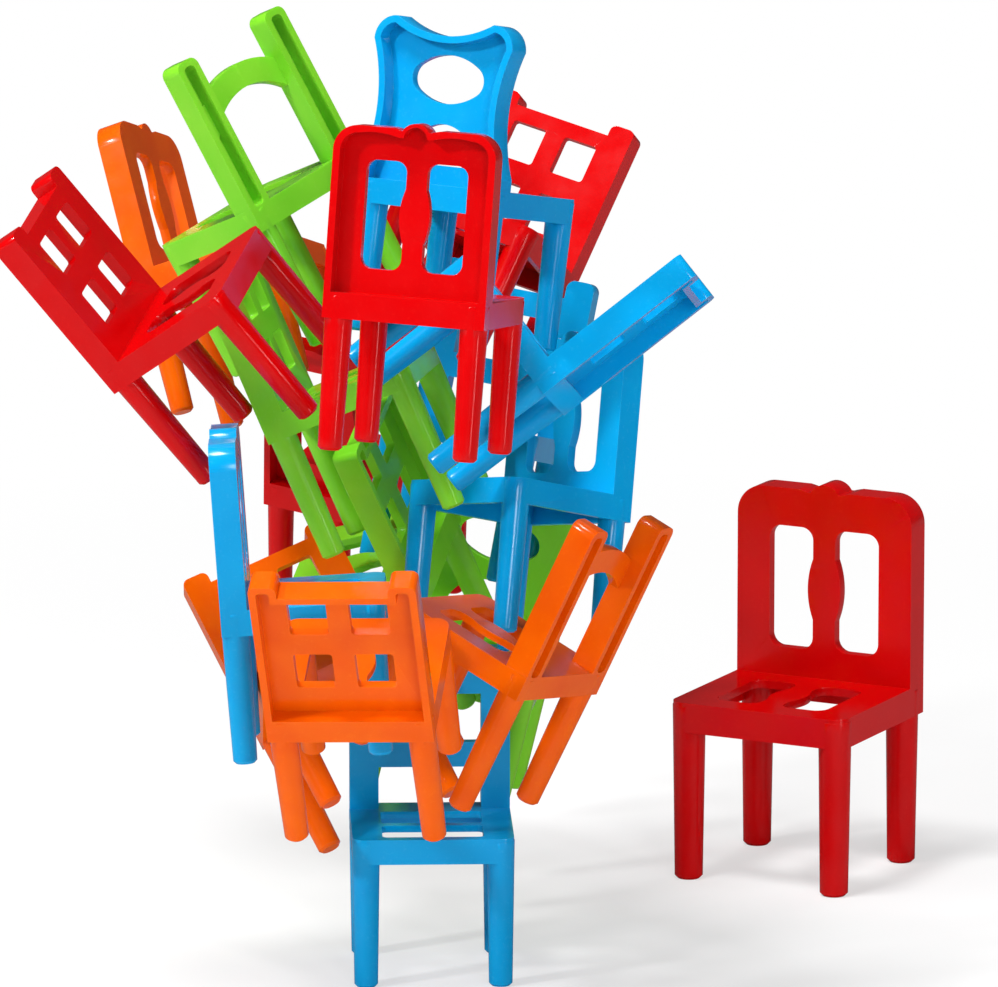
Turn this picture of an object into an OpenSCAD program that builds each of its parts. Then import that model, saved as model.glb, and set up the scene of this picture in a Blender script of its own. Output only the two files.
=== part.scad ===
// Stacking balance game: small moulded plastic chairs that hook onto each
// other in a pile above one upright chair, with a spare chair beside it.
// Every chair has the same seat and legs and one of five backs. In its own
// frame it stands on z = 0 with its front towards -y. The part's frame has its
// origin under the front left foot of the upright chair.

/* [Chair] */
// Width over the seat
chair_w = 30; // [28:0.5:34]
// Depth from the front of the seat to the rear of the back
chair_d = 29.6; // [28:0.2:34]
// Height of the top of the seat
seat_h = 28.4; // [25:0.2:34]
// Height of the back above the seat
back_h = 30.3; // [29:0.1:34]
// Thickness of the moulded walls
wall = 1.3; // [1:0.1:1.7]
// Depth of the rim round the seat
apron_h = 4.7; // [3.5:0.1:6]
// Depth of the rim round the back
back_d = 4.9; // [4:0.1:6]
// Thickness of the front plate of the back
plate = 1.8; // [1.2:0.1:2.4]
// Rounding of the front corners of the seat
seat_r = 2.5; // [1.8:0.1:4]

/* [Legs] */
// Diameter of a leg under the seat
leg_top_d = 5.2; // [4.6:0.1:5.6]
// Diameter of a leg at the floor
leg_foot_d = 4.4; // [3.6:0.1:5]
// Distance of the axis of a leg from the outer faces of the seat
leg_inset = 2.5; // [2.3:0.1:3]
// Rounding at the end of a leg
foot_r = 0.5; // [0.2:0.1:1]

/* [Baluster] */
// Distance from the side of a chair to its nearer slot
slot_side = 5.6; // [4.5:0.1:7]
// Width of the baluster at its waists
baluster_w = 3.8; // [3:0.1:4.6]
// Swelling of the baluster on each side
baluster_swell = 0.9; // [0.3:0.1:1.4]
// Rounding of the slots
slot_r = 2; // [1:0.1:2.6]
// Lowest point of a slot in the back, above the seat
slot_low = 4.5; // [3:0.1:7]
// Height of a slot in the back
slot_h = 19.5; // [14:0.1:20.5]
// Distance of the slots in the seat from its front and from the back
seat_margin = 4.6; // [3.5:0.1:6]

/* [Round top] */
// Rounding of the upper corners
crest_r = 4.5; // [3.5:0.1:5]
// Distance of each of the two humps from the middle
hump_x = 7.5; // [6.5:0.1:8.5]
// Radius of each hump
hump_r = 16; // [12:0.5:24]
// Radius of the bead between the humps
bead_r = 2.8; // [1.5:0.1:3.2]

/* [Window back] */
// Width of a pane
pane_w = 7; // [5.5:0.1:7.6]
// Height of a pane
pane_h = 7.5; // [6:0.1:8.2]
// Width of the bar between the panes
mullion = 4; // [3:0.1:5]
// Height of the lower panes above the seat
pane_low = 5.4; // [4:0.1:6.5]
// Height of the bar between lower and upper panes
transom = 4.5; // [3:0.1:5]
// Width of the two horns on top
horn_w = 5; // [4.4:0.1:6]
// Height of the horns above the top rail
horn_h = 2.4; // [1.5:0.1:3.2]

/* [Bow back] */
// Width left at the waist of the sides
waist_w = 25.6; // [24.4:0.1:28]
// Height of the waist above the seat
waist_z = 14; // [12:0.1:16]
// Depth of the dip in the top
dip = 2.9; // [2:0.1:3.6]
// Width of the oval opening
oval_w = 15.5; // [12:0.1:16.5]
// Height of the oval opening
oval_h = 9; // [7:0.1:10]
// Height of the middle of the oval above the seat
oval_z = 19.5; // [18.5:0.1:20.5]
// Radius of the arched opening below the oval
door_r = 7.6; // [6:0.1:8]
// Height of the foot of the arched opening above the seat
door_z = 3.6; // [3:0.1:4.5]

/* [Arch back and ladder back] */
// Width of an upright
post_w = 5.4; // [4.8:0.1:6.2]
// Rounding of the top of an upright
post_r = 1.7; // [1:0.1:2.2]
// Width of a rail as seen from the front
rail_w = 4.7; // [3.5:0.1:5.5]
// Thickness of a rail
rail_t = 2.2; // [1.5:0.1:3]
// Inner radius of the arched rail
arch_r = 14; // [12:0.5:20]
// Height of the arched rail above the seat, under its middle
arch_z = 20; // [16:0.1:22]
// Height of the lower rail of the ladder above the seat
rung_low = 8; // [5:0.1:10]
// Height of the upper rail of the ladder above the seat
rung_high = 22; // [18:0.1:25]
// Width of the bar across the seat of the ladder chair
cross_bar = 2; // [1.4:0.1:4]

/* [Spare chair] */
// Size of the spare chair against those in the pile; 1 makes them all alike
spare_scale = 1.24; // [1:0.01:1.3]
// Distance of the spare chair to the right of the pile
spare_x = 70; // [55:1:90]
// Distance of the spare chair behind the upright one
spare_y = 77; // [40:1:100]
// Turn of the spare chair
spare_turn = -27; // [-45:1:45]

/* [Hidden] */
$fn = 48;
BLUE = "#009be0";
RED = "#d40a0a";
ORANGE = "#ff6208";
GREEN = "#46b822";

front_y = -chair_d / 2;
rear_y = chair_d / 2;
back_y = rear_y - back_d;
half_w = chair_w / 2;
leg_x = half_w - leg_inset;
leg_y = rear_y - leg_inset;
over = 1;

// The middle of the upright chair's feet, seen from its front left foot
base_turn = 2;
home = [
    leg_x * cos(base_turn) - leg_y * sin(base_turn),
    leg_x * sin(base_turn) + leg_y * cos(base_turn),
    0
];

// A rectangle with rounded corners, from its lower left corner
module rounded(w, h, r) {
    translate([r, 0]) square([w - 2 * r, h]);
    translate([0, r]) square([w, h - 2 * r]);
    for (x = [r, w - r]) for (y = [r, h - r]) translate([x, y]) circle(r);
}

// The same on both sides of the middle
module both() {
    children();
    mirror([1, 0]) children();
}

// An oval of four arcs, where end_r is the radius of its ends
module oval(w, h, end_r) {
    end_x = w / 2 - end_r;
    long_r = (end_x * end_x + h * h / 4 - end_r * end_r) / (h - 2 * end_r);
    meet_x = end_x * long_r / (long_r - end_r);
    intersection() {
        translate([0, h / 2 - long_r]) circle(long_r);
        translate([0, long_r - h / 2]) circle(long_r);
        translate([-meet_x, -h / 2]) square([2 * meet_x, h]);
    }
    both() translate([end_x, 0]) circle(end_r);
}

// A slot beside the baluster, which swells in the middle of its length
module baluster_slot(length) {
    slot_w = half_w - slot_side - baluster_w / 2;
    swell_r = (length * length / 16 + baluster_swell * baluster_swell) / 2 / baluster_swell;
    difference() {
        translate([baluster_w / 2, 0]) rounded(slot_w, length, slot_r);
        translate([baluster_w / 2 + baluster_swell - swell_r, length / 2]) circle(swell_r);
    }
}

// One leg, round and tapered, with its end rounded off
module leg() {
    shaft_h = seat_h - wall / 2 - foot_r;
    cylinder(h = foot_r, d1 = leg_foot_d - 2 * foot_r, d2 = leg_foot_d);
    translate([0, 0, foot_r]) cylinder(h = shaft_h, d1 = leg_foot_d, d2 = leg_top_d);
}

module legs() {
    for (side = [-1, 1]) for (end = [-1, 1]) translate([side * leg_x, end * leg_y, 0]) leg();
}

// Plan of the seat, drawn in by the given amount
module seat_plan(inset) {
    translate([inset - half_w, front_y + seat_r]) square([chair_w - 2 * inset, chair_d - seat_r - inset]);
    translate([seat_r - half_w, front_y + inset]) square([chair_w - 2 * seat_r, seat_r]);
    both() translate([half_w - seat_r, front_y + seat_r]) circle(seat_r - inset);
}

// Two lengthwise slots with a baluster between them
module long_slots() {
    translate([0, front_y + seat_margin])
        both() baluster_slot(back_y - front_y - 2 * seat_margin);
}

// Two wide openings with a bar across between them
module cross_slots() {
    margin = seat_margin / 2;
    slot_w = chair_w - 2 * slot_side;
    slot_h = (back_y - front_y - 2 * margin - cross_bar) / 2;
    for (i = [0, 1]) translate([-slot_w / 2, front_y + margin + i * (slot_h + cross_bar)])
        rounded(slot_w, slot_h, slot_r / 2);
}

// The seat with its rim, open below, and the four legs; the children are its openings
module seat() {
    difference() {
        union() {
            difference() {
                translate([0, 0, seat_h - apron_h]) linear_extrude(apron_h) seat_plan(0);
                translate([0, 0, seat_h - apron_h - over]) linear_extrude(apron_h + over - wall)
                    seat_plan(wall);
            }
            legs();
        }
        translate([0, 0, seat_h - wall - over]) linear_extrude(wall + 2 * over) children();
    }
}

// The outlines below are drawn from the front, with y = 0 at the top of the
// seat. Each is drawn in by inset, which gives the hollow behind the plate.

// Two humps and a bead between rounded corners
module round_outline(inset) {
    corner_x = half_w - crest_r;
    corner_y = back_h - crest_r - pow(corner_x - hump_x, 2) / 2 / hump_r;
    dip_x = bead_r;
    dip_y = back_h - pow(hump_x - dip_x, 2) / 2 / hump_r;
    translate([inset - half_w, inset - wall]) square([chair_w - 2 * inset, corner_y + wall - inset]);
    translate([-corner_x, 0]) square([2 * corner_x, dip_y - inset]);
    translate([0, dip_y - bead_r / 2]) circle(bead_r - inset / 2);
    both() {
        translate([corner_x, corner_y]) circle(crest_r - inset);
        intersection() {
            translate([hump_x, back_h - hump_r]) circle(hump_r - inset);
            translate([dip_x, corner_y]) square([corner_x - dip_x, crest_r]);
        }
    }
}

// A straight top rail between two short horns
module window_outline(inset) {
    horn_r = horn_w / 4;
    translate([inset - half_w, inset - wall])
        square([chair_w - 2 * inset, back_h - horn_h - 2 * inset + wall]);
    both() translate([half_w - horn_w + inset, inset - wall])
        rounded(horn_w - 2 * inset, back_h + wall - 2 * inset, horn_r - inset / 2);
}

// Sides drawn in to a waist and a top with a wide dip
module bow_outline(inset) {
    flare = (chair_w - waist_w) / 2;
    side_h = back_h - crest_r - waist_z;
    side_r = (side_h * side_h + flare * flare) / 2 / flare;
    corner_x = half_w - crest_r;
    dip_r = (corner_x * corner_x + dip * dip) / 2 / dip;
    difference() {
        union() {
            translate([inset - half_w, inset - wall])
                square([chair_w - 2 * inset, back_h - crest_r + wall - inset]);
            translate([-corner_x, 0]) square([2 * corner_x, back_h - inset]);
            both() translate([corner_x, back_h - crest_r]) circle(crest_r - inset);
        }
        translate([0, back_h - dip + dip_r]) circle(dip_r + inset);
        both() translate([waist_w / 2 + side_r, waist_z]) circle(side_r + inset);
    }
}

// Two uprights, joined by rails that are added apart
module post_outline(inset) {
    both() translate([half_w - post_w + inset, inset - wall])
        rounded(post_w - 2 * inset, back_h + wall - 2 * inset, post_r - inset / 2);
}

// Puts a drawing of the back upright, with its outer face at the rear of the chair
module stand_up(height, from = 0) {
    translate([0, rear_y - from, seat_h]) rotate([90, 0, 0]) linear_extrude(height) children();
}

// The back: a front plate with a rim round it that runs to the rear
module shell(depth) {
    difference() {
        stand_up(back_d) children(0);
        stand_up(depth + over, -over) children(1);
        if ($children > 2) stand_up(back_d + 2 * over, -over) children(2);
    }
}

module round_back() {
    shell(back_d - plate) {
        round_outline(0);
        round_outline(wall);
        translate([0, slot_low]) both() baluster_slot(slot_h);
    }
}

module window_back() {
    shell(back_d - plate) {
        window_outline(0);
        window_outline(wall);
        both() for (z = [pane_low, pane_low + pane_h + transom])
            translate([mullion / 2, z]) rounded(pane_w, pane_h, wall / 2);
    }
}

module bow_back() {
    shell(back_d - plate) {
        bow_outline(0);
        bow_outline(wall);
        union() {
            translate([0, oval_z]) oval(oval_w, oval_h, oval_h / 3);
            intersection() {
                translate([0, door_z]) circle(door_r);
                translate([-door_r, door_z]) square([2 * door_r, door_r]);
            }
        }
    }
}

module arch_back() {
    inner_x = half_w - post_w / 2;
    shell(back_d - plate) {
        post_outline(0);
        post_outline(wall);
    }
    stand_up(rail_t, back_d - rail_t) intersection() {
        translate([0, arch_z - arch_r]) difference() {
            circle(arch_r + rail_w);
            circle(arch_r);
        }
        translate([-inner_x, 0]) square([2 * inner_x, back_h]);
    }
}

module ladder_back() {
    inner_x = half_w - post_w / 2;
    shell(back_d - plate) {
        post_outline(0);
        post_outline(wall);
    }
    for (z = [rung_low, rung_high]) stand_up(rail_t, back_d - rail_t)
        translate([-inner_x, z]) square([2 * inner_x, rail_w]);
}

module round_chair(tone) color(tone) {
    seat() long_slots();
    round_back();
}

module window_chair(tone) color(tone) {
    seat() long_slots();
    window_back();
}

module bow_chair(tone) color(tone) {
    seat() long_slots();
    bow_back();
}

module arch_chair(tone) color(tone) {
    seat() long_slots();
    arch_back();
}

module ladder_chair(tone) color(tone) {
    seat() cross_slots();
    ladder_back();
}

// Turns a chair about x, y and z and puts the middle of its feet in place
module lay(turn, place) {
    translate(place + home) rotate(turn) children();
}

lay([0, 0, base_turn], [0, 0, 0]) ladder_chair(BLUE);  // base_blue
lay([-26, 2, 172], [-10, -60.5, 48.5]) window_chair(ORANGE);  // orange_front
lay([-36, -21, 16], [-7, -26, 39]) window_chair(ORANGE);  // orange_lower_left
lay([-23, -9, -120], [2, -29, 45]) arch_chair(ORANGE);  // orange_right
lay([-4, 2, 90], [-21, -42, 53]) round_chair(BLUE);  // blue_left
lay([-12, -7, 154], [-13, 87, 51]) round_chair(RED);  // dark_red
lay([18, 21, -103], [-2, 33, 47.5]) window_chair(GREEN);  // green_middle
lay([-24, 2, 80], [-4.5, 2, 85.5]) window_chair(GREEN);  // green_left
lay([4, 13, -8], [1, 38, 25.5]) bow_chair(GREEN);  // green_lower_right
lay([-22, 17, 68], [-32, 66, 95]) round_chair(ORANGE);  // orange_upper_left
lay([-36, -16, 76], [-28, -21, 110]) window_chair(RED);  // red_upper_left
lay([23, 16, -132], [-20, 41, 113.5]) arch_chair(GREEN);  // green_top
lay([12, 0, 148], [4, 8.5, 118]) bow_chair(BLUE);  // blue_top
lay([8, -2, 165], [-2.5, -59, 111]) round_chair(RED);  // red_front
lay([-31, 13, -27], [-1, 53, 104.5]) window_chair(RED);  // red_right
lay([-50, -19, -98], [-5, -30, 110.5]) window_chair(BLUE);  // blue_slanting
lay([-14, 8, -15], [3, 38.5, 67.5]) ladder_chair(BLUE);  // blue_middle
lay([-16, -10, -46], [14, -7.5, 64.5]) round_chair(BLUE);  // blue_right
lay([0, 0, spare_turn], [spare_x, spare_y, 0]) scale(spare_scale) round_chair(RED);  // lone_red
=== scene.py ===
import math
import bpy
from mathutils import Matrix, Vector

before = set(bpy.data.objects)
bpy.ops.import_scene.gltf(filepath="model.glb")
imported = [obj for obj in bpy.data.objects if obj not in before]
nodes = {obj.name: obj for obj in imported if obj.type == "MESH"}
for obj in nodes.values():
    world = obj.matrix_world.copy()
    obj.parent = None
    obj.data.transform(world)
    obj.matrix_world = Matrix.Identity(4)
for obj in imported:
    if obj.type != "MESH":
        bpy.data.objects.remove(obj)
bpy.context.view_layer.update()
print("loaded", len(nodes), "chairs")

mm = 0.001

# a Mix node's sockets share their names, so they go by number
mixFactor = 0
mixFirst = 6
mixSecond = 7
mixResult = 2


def toLinear(hexColour):
    # sRGB hex to the linear colour that the sockets take, by the usual sRGB curve
    values = [int(hexColour[i:i + 2], 16) / 255 for i in (1, 3, 5)]
    return [v / 12.92 if v <= 0.04045 else ((v + 0.055) / 1.055) ** 2.4 for v in values] + [1.0]


def clearNodes(owner):
    owner.use_nodes = True
    owner.node_tree.nodes.clear()


def addNode(owner, kind, settings=None, links=None):
    # one node of a material or the world: settings are its properties or socket values,
    # links bring other nodes' outputs to its sockets
    node = owner.node_tree.nodes.new(kind)
    for key, value in (settings or {}).items():
        if isinstance(key, int) or key in node.inputs:
            node.inputs[key].default_value = value
        else:
            setattr(node, key, value)
    for key, output in (links or {}).items():
        owner.node_tree.links.new(output, node.inputs[key])
    return node


camera = {
    "lookAt": (24.66 * mm, 12.73 * mm, 90.8 * mm),  # middle of the picture
    "distance": 2.0,  # a long lens far away: the legs hardly converge
    "elevation": 12,  # degrees
    "lens": 389.6,
    "sensor": 36,
    "farClip": 50,
}


def addCamera():
    tilt = math.radians(camera["elevation"])
    back = Vector((0, -math.cos(tilt), math.sin(tilt)))
    bpy.ops.object.camera_add(location=Vector(camera["lookAt"]) + back * camera["distance"])
    view = bpy.context.object
    view.name = "photoCamera"
    view.rotation_euler = (math.radians(90 - camera["elevation"]), 0, 0)
    view.data.lens = camera["lens"]
    view.data.sensor_width = camera["sensor"]
    view.data.clip_end = camera["farClip"]
    bpy.context.scene.camera = view


addCamera()
print("camera placed")


# marks that moulding and handling leave on the plastic
marks = {
    "flow": 14 * mm,  # flow marks: broad, soft changes of shade
    "flowDetail": 2,
    "flowSwirl": 0.6,
    "speck": 0.7 * mm,  # pigment specks, drawn this wide so that they show
    "speckDetail": 1,
    "speckRange": (0.6, 0.8),  # only the peaks of the noise are specks
    "speckShare": 0.07,
    "haze": 5 * mm,  # patches that handling has dulled a little
    "hazeDetail": 4,
    "hazeRange": (0.3, 0.7),
    "hazeAdds": 0.09,  # to the roughness
    "peel": 2.5 * mm,  # orange peel and sink marks, a few microns deep
    "peelDetail": 1.5,
    "peelDepth": 0.02 * mm,
    "peelStrength": 0.35,
}

# flow marks run from deep to body; specks are mixed with the light tone, and so is a painted highlight
# along the rounded edges, by its highlight share;
# glow is the share of light that enters, and reach is how far its red, green and blue go in, in mm
plastics = {
    "blue": {
        "body": "#04A4DE", "deep": "#0092D2", "light": "#64CEF6",
        "rim": 0.4, "roughness": 0.13, "glow": 0.12, "reach": (0.3, 1.2, 2.0),
    },
    "red": {
        "body": "#D20004", "deep": "#C20003", "light": "#F63C2C",
        "rim": 0.3, "roughness": 0.12, "glow": 0.08, "reach": (2.0, 0.3, 0.3),
    },
    "orange": {
        "body": "#F06A02", "deep": "#DA4600", "light": "#FFA42C",
        "rim": 0.5, "roughness": 0.13, "glow": 0.15, "reach": (2.5, 1.0, 0.3),
    },
    "green": {
        "body": "#92DE38", "deep": "#6ECC22", "light": "#B8EE70",
        "rim": 0.45, "roughness": 0.13, "glow": 0.2, "reach": (1.2, 2.5, 0.4),
    },
}

polypropylene = {"ior": 1.49, "specular": 0.38}


def mouldedPlastic(name, tone, rim=0.0):
    # injection-moulded polypropylene from a polished mould: glossy, with faint flow marks; a highlight
    # share above zero paints a pale highlight into its colour
    material = bpy.data.materials.new(name)
    clearNodes(material)
    place = addNode(material, "ShaderNodeTexCoord").outputs["Object"]

    flow = addNode(material, "ShaderNodeTexNoise", {
        "Scale": 1 / marks["flow"],
        "Detail": marks["flowDetail"],
        "Distortion": marks["flowSwirl"],
    }, {"Vector": place})
    shade = addNode(material, "ShaderNodeMix", {
        "data_type": "RGBA",
        mixFirst: toLinear(tone["deep"]),
        mixSecond: toLinear(tone["body"]),
    }, {mixFactor: flow.outputs["Fac"]})

    speck = addNode(material, "ShaderNodeTexNoise", {
        "Scale": 1 / marks["speck"],
        "Detail": marks["speckDetail"],
    }, {"Vector": place})
    # the pale mix starts at the highlight share: on the rounded edges this paints a highlight, and pigment
    # specks add to it
    pale = addNode(material, "ShaderNodeMapRange", {
        "From Min": marks["speckRange"][0],
        "From Max": marks["speckRange"][1],
        "To Min": rim,
        "To Max": rim + marks["speckShare"],
    }, {"Value": speck.outputs["Fac"]})
    specksAndEdgeHighlight = addNode(material, "ShaderNodeMix", {
        "data_type": "RGBA",
        mixSecond: toLinear(tone["light"]),
    }, {mixFactor: pale.outputs["Result"], mixFirst: shade.outputs[mixResult]})

    haze = addNode(material, "ShaderNodeTexNoise", {
        "Scale": 1 / marks["haze"],
        "Detail": marks["hazeDetail"],
    }, {"Vector": place})
    dulled = addNode(material, "ShaderNodeMapRange", {
        "From Min": marks["hazeRange"][0],
        "From Max": marks["hazeRange"][1],
        "To Min": tone["roughness"],
        "To Max": tone["roughness"] + marks["hazeAdds"],
    }, {"Value": haze.outputs["Fac"]})

    peel = addNode(material, "ShaderNodeTexNoise", {
        "Scale": 1 / marks["peel"],
        "Detail": marks["peelDetail"],
    }, {"Vector": place})
    bump = addNode(material, "ShaderNodeBump", {
        "Strength": marks["peelStrength"],
        "Distance": marks["peelDepth"],
    }, {"Height": peel.outputs["Fac"]})

    surface = addNode(material, "ShaderNodeBsdfPrincipled", {
        "IOR": polypropylene["ior"],
        "Specular IOR Level": polypropylene["specular"],
        "Subsurface Weight": tone["glow"],
        "Subsurface Radius": tone["reach"],
        "Subsurface Scale": mm,
    }, {
        "Base Color": specksAndEdgeHighlight.outputs[mixResult],
        "Roughness": dulled.outputs["Result"],
        "Normal": bump.outputs["Normal"],
    })
    addNode(material, "ShaderNodeOutputMaterial", {}, {"Surface": surface.outputs["BSDF"]})
    return material


faces = {key: mouldedPlastic(key + "Polypropylene", tone) for key, tone in plastics.items()}
# a second copy of each plastic, paler by a painted highlight, for the rounded edges
rims = {key: mouldedPlastic(key + "PolypropyleneEdgeHighlight", tone, tone["rim"]) for key, tone in plastics.items()}
print("plastics mixed")


softEdge = {
    "weld": 0.004 * mm,  # joins the loose triangles of the solids
    "width": 0.38 * mm,
    "segments": 3,
    "angle": 32,  # degrees: sharper edges than this are rounded
    "rimSlot": 1,  # the rounded strip takes the painted edge highlight
}


def dressChair(name, chair):
    colour = next(key for key in plastics if key in name)
    chair.data.materials.clear()
    chair.data.materials.append(faces[colour])
    chair.data.materials.append(rims[colour])
    weld = chair.modifiers.new("weld", "WELD")
    weld.merge_threshold = softEdge["weld"]
    soft = chair.modifiers.new("softEdge", "BEVEL")
    soft.width = softEdge["width"]
    soft.segments = softEdge["segments"]
    soft.limit_method = "ANGLE"
    soft.angle_limit = math.radians(softEdge["angle"])
    soft.use_clamp_overlap = True
    soft.harden_normals = True  # flat faces stay flat, the light breaks at the edges
    # the bevelled edges take the plastic with the painted highlight
    soft.material = softEdge["rimSlot"]


for name, chair in nodes.items():
    dressChair(name, chair)
print("chairs dressed")


sweep = {
    "size": 14,
    "middle": (0, 3, 0),
    "paper": "#F0F0F0",
    "mirrored": "#7C7C7C",  # darker in the chairs' gloss, so that the plastics keep their colour
    "fadeMiddle": (0.03, 0.05, 0),  # the paper runs out into white around this place
    "fadeFrom": 0.12,
    "fadeTo": 0.42,
    "leastWhite": 0.58,
    "white": (1, 1, 1, 1),
}


def addFloor():
    bpy.ops.object.select_all(action="DESELECT")
    bpy.ops.mesh.primitive_plane_add(size=sweep["size"], location=sweep["middle"])
    floor = bpy.context.object
    floor.name = "paleFloor"
    bpy.ops.object.transform_apply(location=True, rotation=False, scale=True)
    paper = bpy.data.materials.new("paleStudioPaper")  # matt white paper sweep
    clearNodes(paper)
    path = addNode(paper, "ShaderNodeLightPath")
    tone = addNode(paper, "ShaderNodeMix", {
        "data_type": "RGBA",
        mixFirst: toLinear(sweep["paper"]),
        mixSecond: toLinear(sweep["mirrored"]),
    }, {mixFactor: path.outputs["Is Glossy Ray"]})
    matt = addNode(paper, "ShaderNodeBsdfDiffuse", {}, {"Color": tone.outputs[mixResult]})
    white = addNode(paper, "ShaderNodeEmission", {"Color": sweep["white"], "Strength": 1.0})
    place = addNode(paper, "ShaderNodeTexCoord").outputs["Object"]
    far = addNode(paper, "ShaderNodeVectorMath", {
        "operation": "DISTANCE",
        1: sweep["fadeMiddle"],
    }, {0: place})
    fade = addNode(paper, "ShaderNodeMapRange", {
        "From Min": sweep["fadeFrom"],
        "From Max": sweep["fadeTo"],
        "To Min": sweep["leastWhite"],
    }, {"Value": far.outputs["Value"]})
    seen = addNode(paper, "ShaderNodeMath", {
        "operation": "MULTIPLY",
    }, {0: fade.outputs["Result"], 1: path.outputs["Is Camera Ray"]})
    blend = addNode(paper, "ShaderNodeMixShader", {}, {
        0: seen.outputs["Value"],
        1: matt.outputs["BSDF"],
        2: white.outputs["Emission"],
    })
    addNode(paper, "ShaderNodeOutputMaterial", {}, {"Surface": blend.outputs["Shader"]})
    floor.data.materials.append(paper)


studio = {
    "light": 0.18,
    "mirrored": 0.06,  # darker in the chairs' gloss, as with black flags round the table
    "white": (1, 1, 1, 1),
}


def addWorld():
    world = bpy.data.worlds.new("whiteStudio")
    clearNodes(world)
    bpy.context.scene.world = world
    path = addNode(world, "ShaderNodeLightPath")
    flagged = addNode(world, "ShaderNodeMapRange", {
        "To Min": studio["light"],
        "To Max": studio["mirrored"],
    }, {"Value": path.outputs["Is Glossy Ray"]})
    seen = addNode(world, "ShaderNodeMath", {
        "operation": "MAXIMUM",  # the camera itself sees pure white
    }, {0: flagged.outputs["Result"], 1: path.outputs["Is Camera Ray"]})
    sky = addNode(world, "ShaderNodeBackground", {
        "Color": studio["white"],
    }, {"Strength": seen.outputs["Value"]})
    addNode(world, "ShaderNodeOutputWorld", {}, {"Surface": sky.outputs["Background"]})


softboxes = {
    "keySoftbox": {"place": (-1.1, -0.7, 1.0), "size": (0.15, 0.15), "power": 12},
    "frontSoftbox": {"place": (0.35, -1.4, 0.6), "size": (0.3, 0.5), "power": 6},
    "rightStrip": {"place": (0.85, -1.0, 0.35), "size": (0.1, 0.9), "power": 2.2},  # streak down each leg
    "topSoftbox": {"place": (-0.3, -0.2, 1.4), "size": (0.35, 0.35), "power": 18},
}
lampTarget = (0.012, 0.02, 0.09)


def addSoftbox(name, box):
    bpy.ops.object.light_add(type="AREA", location=box["place"])
    lamp = bpy.context.object
    lamp.name = name
    lamp.data.shape = "RECTANGLE"
    lamp.data.size, lamp.data.size_y = box["size"]
    lamp.data.energy = box["power"]
    lamp.rotation_euler = (Vector(lampTarget) - Vector(box["place"])).to_track_quat("-Z", "Y").to_euler()


addFloor()
addWorld()
for name, box in softboxes.items():
    addSoftbox(name, box)
bpy.context.scene.view_settings.view_transform = "Standard"
print("floor, world and lamps placed")
